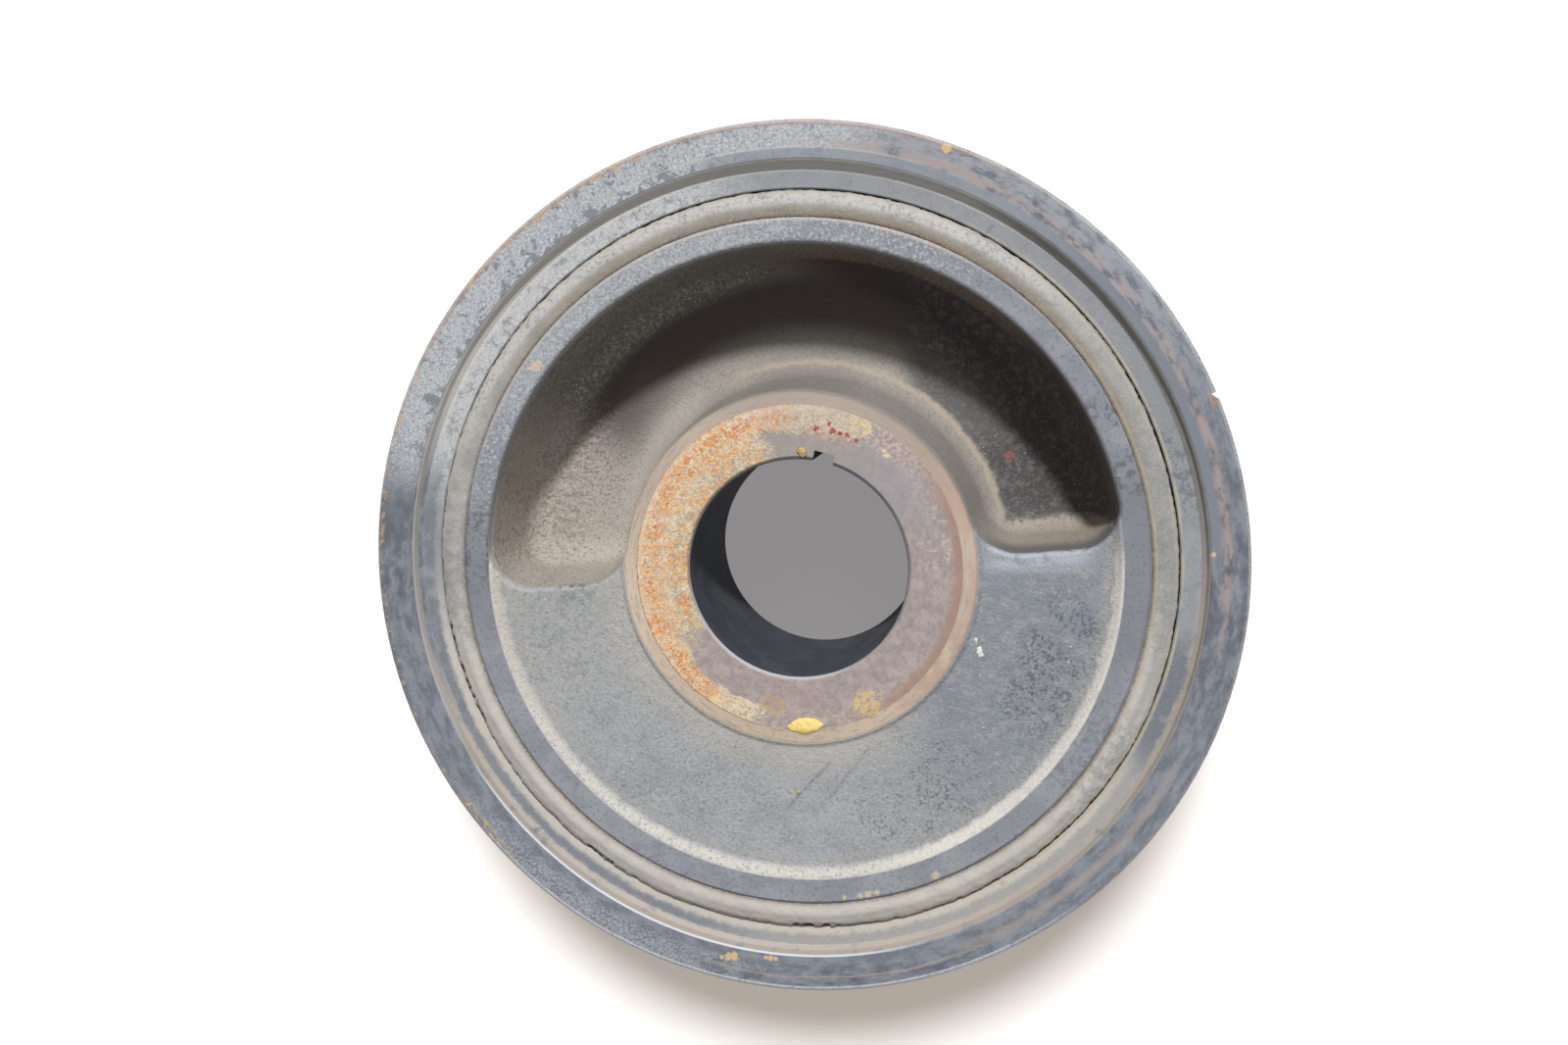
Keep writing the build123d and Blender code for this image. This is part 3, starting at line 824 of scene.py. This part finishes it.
# Painted light and shade: the lower half of the bead is painted lighter, the inner slope of the upper half
# darker, and the upper outer slope gets a painted highlight.
painted_light_lower_half = sector(186, 352, 14)
painted_shade_upper_half = sector(12, 142, 16)
coat((202, 195, 186), band(radius, 80.9, 83.2, 0.9), painted_light_lower_half, 0.8)
coat((196, 192, 186), rise(radius, 83.2, 84.4), painted_light_lower_half, 0.75)
coat((156, 147, 134), rise(radius, 83.4, 81.4), painted_shade_upper_half, 0.85)
painted_highlight_outside = both(band(radius, 83.0, 85.6, 0.6), sector(44, 158, 12))
coat((204, 202, 199), painted_highlight_outside, specks(1.0, 0.8, rough=0.75, seed=1.0), 0.65)
coat((150, 150, 148), sector(-16, 42, 14), rise(radius, 81.6, 83.2), 0.55)
grey_sides = either(sector(-10, 18, 8), sector(170, 192, 6), sector(318, 334, 6))
coat((138, 140, 142), grey_sides, rise(noise(2.0, 5.0, 0.7), 0.4, 0.58), 0.6)
coat((214, 210, 202), specks(0.4, 0.25, seed=2.0), 0.35)
coat((190, 178, 158), band(radius, 80.6, 81.3, 0.3), sector(-40, 40, 14), 0.6)
coat((128, 106, 80), rise(radius, 80.9, 80.3), rise(fine, 0.66, 0.42), 0.75)
coat((196, 138, 84), rise(radius, 80.9, 80.4), sector(40, 84, 6), specks(0.9, 0.4), 0.8)
coat((188, 178, 160), band(radius, 85.1, 85.7, 0.15), rise(cloud, 0.36, 0.5), 0.6)
# Painted shade: the inside of the crack is painted near black.
painted_shade_in_crack = rise(height, ring_top - 2.6, ring_top - 3.2)
coat((50, 42, 36), painted_shade_in_crack, rise(radius, rubber_outer - 1.8, rubber_outer - 1.2))
coat((112, 103, 90), rise(fine, 0.6, 0.72), 0.4)
normal = rubber.bump(rubber.math("ADD", fine, noise(2.2, 3.0)), 0.12)
rubber_material = rubber.done(0.85, normal)

# %% [markdown]
# The shape follows a rule: one section, turned round the bore. So a curve holds the
# section, and Geometry Nodes sweep it round a circle, then push the points of the bead
# in and out with noise. A second push bites pieces out of the outer edge, where the
# crack is widest. The tree has named inputs, so the same ring can be made coarser or
# rougher. The result is baked into a plain mesh.

# %% The section of the rubber ring
rubber_inner = 80.0
bulge = 2.0
half_way_up = (ring_top + ring_bottom) / 2
bulge_low, bulge_high = half_way_up - 15.0, half_way_up + 15.0
crest_low, crest_high = half_way_up - 5.0, half_way_up + 5.0
bead_start = (rubber_inner, ring_top - 0.9)
bead_crest = (rubber_inner + 2.5, ring_top - 0.3)
bead_end = (rubber_outer - 0.45, ring_top - 1.6)
crack_bottom = ring_top - 4.4
crack_lean = 0.25
lower_edge = ring_bottom + 2.6
lower_crest = ring_bottom + 1.5
lower_flank = 1.8
bead_steps = 18


def arc_through(start, middle, end, steps):
    """Points on the circle through three points, from start to end."""
    ax, ay = start
    bx, by = middle
    cx, cy = end
    area = 2 * (ax * (by - cy) + bx * (cy - ay) + cx * (ay - by))
    a2, b2, c2 = ax * ax + ay * ay, bx * bx + by * by, cx * cx + cy * cy
    x = (a2 * (by - cy) + b2 * (cy - ay) + c2 * (ay - by)) / area
    y = (a2 * (cx - bx) + b2 * (ax - cx) + c2 * (bx - ax)) / area
    size = hypot(ax - x, ay - y)
    first = atan2(ay - y, ax - x)
    last = atan2(cy - y, cx - x)
    turns = [first + (last - first) * step / steps for step in range(steps + 1)]
    return [(x + size * cos(turn), y + size * sin(turn)) for turn in turns]


def bulged_wall(radius):
    return [
        (radius, bulge_low),
        (radius + bulge, crest_low),
        (radius + bulge, crest_high),
        (radius, bulge_high),
    ]


section = [(rubber_inner, lower_edge)] + bulged_wall(rubber_inner)
section += arc_through(bead_start, bead_crest, bead_end, bead_steps)
section.append((rubber_outer - crack_lean, (bead_end[1] + crack_bottom) / 2))
section.append((rubber_outer, crack_bottom))
section += bulged_wall(rubber_outer)[::-1]
section.append((rubber_outer, lower_edge))
section += [(rubber_outer - lower_flank, lower_crest), (rubber_inner + lower_flank, lower_crest)]
print("rubber section has", len(section), "points")


# %% Trees of Geometry Nodes, and how they are baked
class Maker(Bench):
    """A Geometry Nodes tree with named inputs."""

    def __init__(self, name, **inputs):
        tree = bpy.data.node_groups.new(name, "GeometryNodeTree")
        super().__init__(tree)
        kinds = {float: "NodeSocketFloat", int: "NodeSocketInt", bpy.types.Material: "NodeSocketMaterial"}
        tree.interface.new_socket("Geometry", in_out="INPUT", socket_type="NodeSocketGeometry")
        tree.interface.new_socket("Geometry", in_out="OUTPUT", socket_type="NodeSocketGeometry")
        self.values = inputs
        self.keys = {}
        for label, value in inputs.items():
            item = tree.interface.new_socket(label, in_out="INPUT", socket_type=kinds[type(value)])
            self.keys[label] = item.identifier
        self.inputs = self.add("NodeGroupInput").outputs

    def make(self, kind, **sockets):
        """Adds a node and feeds its inputs by name, with _ for a space."""
        node = self.add(kind)
        for label, value in sockets.items():
            self.feed(node.inputs[label.replace("_", " ")], value)
        return node

    def bake(self, name, source, geometry):
        """Ends the tree, runs it on the source object and returns a plain mesh piece."""
        realized = self.make("GeometryNodeRealizeInstances", Geometry=geometry)
        finished = self.make("GeometryNodeSetMaterial", Geometry=realized.outputs[0])
        self.feed(finished.inputs["Material"], self.inputs["Material"])
        self.feed(self.add("NodeGroupOutput").inputs[0], finished.outputs[0])
        worker = bpy.data.objects.new(name + "_source", source)
        scene.collection.objects.link(worker)
        modifier = worker.modifiers.new(name, "NODES")
        modifier.node_group = self.tree
        for label, value in self.values.items():
            modifier[self.keys[label]] = value
        graph = bpy.context.evaluated_depsgraph_get()
        mesh = bpy.data.meshes.new_from_object(worker.evaluated_get(graph), depsgraph=graph)
        bpy.data.objects.remove(worker)
        mesh.name = name
        piece = bpy.data.objects.new(name, mesh)
        scene.collection.objects.link(piece)
        if not mesh.materials:
            mesh.materials.append(self.values["Material"])
        print(name, "has", len(mesh.polygons), "faces")
        return piece


# %% Turn the rubber ring
lathe = Maker(
    "rubber_lathe",
    Radius=rubber_inner * MM,
    Steps=880,
    Waviness=0.16,
    Grain=0.07,
    Bite=1.2,
    Material=rubber_material,
)
circle = lathe.make(
    "GeometryNodeCurvePrimitiveCircle",
    Resolution=lathe.inputs["Steps"],
    Radius=lathe.inputs["Radius"],
)
upright = lathe.make("GeometryNodeSetCurveNormal", Curve=circle.outputs[0])
upright.mode = "Z_UP"
swept = lathe.make(
    "GeometryNodeCurveToMesh",
    Curve=upright.outputs[0],
    Profile_Curve=lathe.inputs["Geometry"],
)
lathe.survey(lathe.add("GeometryNodeInputPosition").outputs[0])
bead = lathe.rise(lathe.height, ring_top - 4.0, ring_top - 3.0)
waves = lathe.both(lathe.math("SUBTRACT", lathe.noise(5.0, 2.0), 0.5), lathe.inputs["Waviness"], 4.0)
grains = lathe.both(lathe.math("SUBTRACT", lathe.noise(0.9, 2.0), 0.5), lathe.inputs["Grain"], 4.0)
swell = lathe.both(bead, lathe.math("ADD", waves, grains))
edge = lathe.both(
    lathe.rise(lathe.radius, rubber_outer - 1.4, rubber_outer - 0.6),
    lathe.rise(lathe.height, ring_top - 4.7, ring_top - 3.7),
)
torn_stretches = lathe.either(
    lathe.both(lathe.sector(190, 207, 2), 1.1),
    lathe.both(lathe.sector(233, 239, 1.5), 1.2),
    lathe.both(lathe.sector(268, 275, 1.5), 0.8),
    lathe.both(lathe.sector(8, 30, 4), 0.2),
)
jagged = lathe.rise(lathe.noise(1.7, 3.0, 0.7), 0.45, 0.56)
bites = lathe.both(edge, jagged, lathe.either(torn_stretches, 0.14), lathe.inputs["Bite"])
normals = lathe.add("GeometryNodeInputNormal").outputs[0]
normal_push = lathe.vector("SCALE", normals, scale=lathe.both(swell, MM))
inward_push = lathe.vector("SCALE", lathe.outward, scale=lathe.both(bites, -MM))
pushed = lathe.make(
    "GeometryNodeSetPosition",
    Geometry=swept.outputs[0],
    Offset=lathe.vector("ADD", normal_push, inward_push),
)
smooth = lathe.make("GeometryNodeSetShadeSmooth", Geometry=pushed.outputs[0])

curve = bpy.data.curves.new("rubber_section", "CURVE")
curve.dimensions = "3D"
spline = curve.splines.new("POLY")
spline.points.add(len(section) - 1)
for point, (radius, height) in zip(spline.points, section):
    point.co = ((radius - rubber_inner) * MM, -height * MM, 0.0, 1.0)
spline.use_cyclic_u = True
rubber_ring = lathe.bake("rubber_ring", curve, smooth.outputs[0])
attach(rubber_ring, "root")
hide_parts("elastomer_ring")

# %% [markdown]
# ## Grit, crumbs and scale
#
# Grit lies on the pocket's floor at the right, crumbs of rubber sit along the crack, and
# a few scales of rust stand up on the boss. All three are the same job: scatter points
# over part of a surface and put a small lump on each, turned and sized at random. One
# function makes the tree, and the lump is a 20-sided ball, because there are nearly two
# hundred and each is less than a millimetre across. The chance of a lump is worked out
# at the corners of the surface's own faces, so large faces get only a rough share.

# %% A tree that scatters lumps
def scatter(name, host, region, density, sizes, flatness, seed, material):
    """Scatters lumps, density of them a square metre, on the host mesh where region says."""
    tree = Maker(
        name + "_scatter",
        Density=float(density),
        Smallest=float(sizes[0]),
        Largest=float(sizes[1]),
        Flatness=float(flatness),
        Seed=seed,
        Material=material,
    )
    tree.survey(tree.add("GeometryNodeInputPosition").outputs[0])
    facing = tree.add("ShaderNodeSeparateXYZ")
    tree.feed(facing.inputs[0], tree.add("GeometryNodeInputNormal").outputs[0])
    chance = tree.both(region(tree), tree.rise(facing.outputs[2], 0.5, 0.8))
    points = tree.make(
        "GeometryNodeDistributePointsOnFaces",
        Mesh=tree.inputs["Geometry"],
        Density=tree.both(chance, tree.inputs["Density"]),
        Seed=tree.inputs["Seed"],
    )
    ball = tree.make("GeometryNodeMeshIcoSphere", Radius=0.5 * MM, Subdivisions=1)
    shares = tree.add("FunctionNodeRandomValue")
    shares.data_type = "FLOAT_VECTOR"
    tree.feed(shares.inputs["Min"], (0.55, 0.55, 0.55))
    tree.feed(shares.inputs["Max"], (1.0, 1.0, 1.0))
    tree.feed(shares.inputs["Seed"], tree.inputs["Seed"])
    size = tree.add("FunctionNodeRandomValue")
    tree.feed(size.inputs[2], tree.inputs["Smallest"])
    tree.feed(size.inputs[3], tree.inputs["Largest"])
    tree.feed(size.inputs["Seed"], tree.math("ADD", tree.inputs["Seed"], 1.0))
    flat = tree.add("ShaderNodeCombineXYZ")
    tree.feed(flat.inputs[0], 1.0)
    tree.feed(flat.inputs[1], 1.0)
    tree.feed(flat.inputs[2], tree.inputs["Flatness"])
    lump_scale = tree.vector("MULTIPLY", shares.outputs[0], flat.outputs[0])
    turn = tree.add("FunctionNodeRandomValue")
    tree.feed(turn.inputs[3], 2 * pi)
    tree.feed(turn.inputs["Seed"], tree.math("ADD", tree.inputs["Seed"], 2.0))
    spin = tree.add("ShaderNodeCombineXYZ")
    tree.feed(spin.inputs[2], turn.outputs[1])
    placed = tree.make(
        "GeometryNodeInstanceOnPoints",
        Points=points.outputs[0],
        Instance=ball.outputs[0],
        Rotation=points.outputs["Rotation"],
        Scale=tree.vector("SCALE", lump_scale, scale=size.outputs[1]),
    )
    turned = tree.make("GeometryNodeRotateInstances", Instances=placed.outputs[0], Rotation=spin.outputs[0])
    piece = tree.bake(name, host, turned.outputs[0])
    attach(piece, "root")


# %% Finishes of the loose bits
grit = Finish("grit_dark", 92, 88, 84)
grit.coat((176, 160, 138), grit.rise(grit.noise(1.6, 1.0, seed=1.0), 0.54, 0.58))
grit.coat((148, 96, 82), grit.rise(grit.noise(2.4, 1.0, seed=2.0), 0.6, 0.63))
grit_material = grit.done(0.9)

scale = Finish("rust_scale", 214, 160, 96)
scale.coat((236, 216, 176), scale.rise(scale.noise(1.3, 1.0, seed=1.0), 0.52, 0.56))
scale.coat((204, 112, 52), scale.rise(scale.noise(1.6, 1.0, seed=2.0), 0.52, 0.56))
scale.coat((150, 140, 118), scale.rise(scale.noise(1.1, 1.0, seed=3.0), 0.56, 0.6))
scale_material = scale.done(0.95)

# %% Scatter them
hub_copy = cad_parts["hub"].data.copy()
scatter(
    "pocket_grit",
    hub_copy,
    lambda tree: tree.both(
        tree.rise(tree.height, pocket_floor + 8.4, pocket_floor + 4.4),
        tree.rise(tree.height, pocket_floor - 3.6, pocket_floor - 1.6),
        tree.sector(8, 42, 5),
        tree.band(tree.radius, 48.0, 64.0, 2.0),
    ),
    density=450000,
    sizes=(0.25, 0.75),
    flatness=0.7,
    seed=4,
    material=grit_material,
)
scatter(
    "rust_scales",
    hub_copy,
    lambda tree: tree.both(
        tree.rise(tree.height, hub_top - 0.2, hub_top - 0.05),
        tree.sector(92, 238, 8),
        tree.band(tree.radius, 30.5, 36.6, 1.5),
        tree.rise(tree.noise(3.0, 3.0), 0.45, 0.56),
    ),
    density=900000,
    sizes=(0.3, 0.8),
    flatness=0.3,
    seed=9,
    material=scale_material,
)
crumb_host = rubber_ring.data.copy()
scatter(
    "rubber_crumbs",
    crumb_host,
    lambda tree: tree.both(
        tree.rise(tree.height, ring_top - 3.4, ring_top - 2.8),
        tree.rise(tree.radius, rubber_outer - 1.3, rubber_outer - 0.9),
        tree.either(tree.sector(182, 290, 4), tree.both(tree.sector(6, 60, 4), 0.4)),
    ),
    density=600000,
    sizes=(0.25, 0.6),
    flatness=0.6,
    seed=2,
    material=rubber_material,
)

# %% [markdown]
# ## Paint and dirt that stand proud
#
# A dab of yellow marking paint runs over the edge of the boss, a lump of dirt sits at
# the keyway's corner, and an ochre speck and two white chips lie on the web. Each is a
# low dome with a ragged outline that follows the surface below it, so one function makes
# them: rings of points, each a little lower than the last, closed underneath.

# %% Domes that follow the boss and the web
shoulder_drop = 1.5


def hub_surface(x, y):
    """Height of the hub's upper surface at a place on the boss or the web."""
    radius = hypot(x, y)
    if radius <= boss_end_radius:
        return hub_top
    if radius <= shoulder_radius:
        share = (radius - boss_end_radius) / (shoulder_radius - boss_end_radius)
        return hub_top - shoulder_drop * share
    return web_height


def dome(name, centre, half_sizes, turn, thickness, ragged, finish, pointed=0.0):
    """A low dome of paint or dirt, draped over the hub, with its long ends pointed."""
    spokes = 40
    rings = 7
    sunk = 0.05
    build = bmesh.new()
    layers = []
    for level in range(1, rings + 1):
        share = level / rings
        layer = []
        for spoke in range(spokes):
            angle = 2 * pi * spoke / spokes
            wobble = hills.noise(Vector((2 * cos(angle), 2 * sin(angle), centre[0])))
            wobble += 0.5 * hills.noise(Vector((6 * cos(angle), 6 * sin(angle), centre[1])))
            stretch = share * (1 + ragged * wobble * share)
            across = half_sizes[0] * stretch * cos(angle)
            along = half_sizes[1] * stretch * sin(angle) * (1 - pointed * cos(angle) ** 2)
            x = centre[0] + across * cos(turn) - along * sin(turn)
            y = centre[1] + across * sin(turn) + along * cos(turn)
            lumpy = 1 + 0.35 * hills.noise(Vector((x * 1.3, y * 1.3, 0.0)))
            rise = thickness * lumpy * sqrt(max(0.0, 1 - share * share)) - sunk * (level == rings)
            layer.append(build.verts.new(Vector((x, y, hub_surface(x, y) + rise)) * MM))
        layers.append(layer)
    peak = build.verts.new(Vector((*centre, hub_surface(*centre) + thickness)) * MM)
    base = build.verts.new(Vector((*centre, hub_surface(*centre) - 3 * sunk)) * MM)
    for spoke in range(spokes):
        following = (spoke + 1) % spokes
        build.faces.new((peak, layers[0][spoke], layers[0][following]))
        build.faces.new((base, layers[-1][following], layers[-1][spoke]))
        for inner, outer in zip(layers, layers[1:]):
            build.faces.new((inner[spoke], outer[spoke], outer[following], inner[following]))
    for face in build.faces:
        face.smooth = True
    mesh = bpy.data.meshes.new(name)
    build.to_mesh(mesh)
    build.free()
    mesh.materials.append(finish)
    piece = bpy.data.objects.new(name, mesh)
    scene.collection.objects.link(piece)
    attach(piece, "root")
    print(name, "has", len(mesh.polygons), "faces")


# %% Lay the domes
yellow = Finish("marking_paint", 252, 224, 140)
yellow.coat((226, 190, 104), yellow.rise(yellow.noise(0.8, 4.0, 0.7), 0.5, 0.62), 0.8)
yellow_material = yellow.done(0.6, yellow.bump(yellow.noise(0.5, 3.0), 0.15))
dirt = Finish("packed_dirt", 205, 176, 128)
dirt.coat((158, 128, 90), dirt.rise(dirt.noise(0.6, 4.0, 0.7), 0.5, 0.6))
dirt_material = dirt.done(0.95, dirt.bump(dirt.noise(0.4, 3.0), 0.2))
chip = Finish("pale_chip", 232, 232, 228)
chip.coat((190, 190, 186), chip.rise(chip.noise(0.5, 3.0), 0.5, 0.6), 0.7)
chip_material = chip.done(0.7)
dome(
    "yellow_dab",
    centre=(1.1, -36.9),
    half_sizes=(4.6, 2.1),
    turn=0.08,
    thickness=0.4,
    ragged=0.12,
    finish=yellow_material,
    pointed=0.55,
)
dome("keyway_dirt", (1.6, 27.0), (1.1, 1.3), turn=0.2, thickness=0.8, ragged=0.4, finish=dirt_material)
dome("ochre_speck", (-1.1, -53.4), (0.5, 0.5), turn=0.0, thickness=0.4, ragged=0.3, finish=dirt_material)
dome("pale_chip", (41.6, -19.5), (0.75, 1.5), turn=0.35, thickness=0.3, ragged=0.5, finish=chip_material)
dome("pale_chip_small", (40.6, -16.6), (0.4, 0.6), turn=0.0, thickness=0.2, ragged=0.5, finish=chip_material)
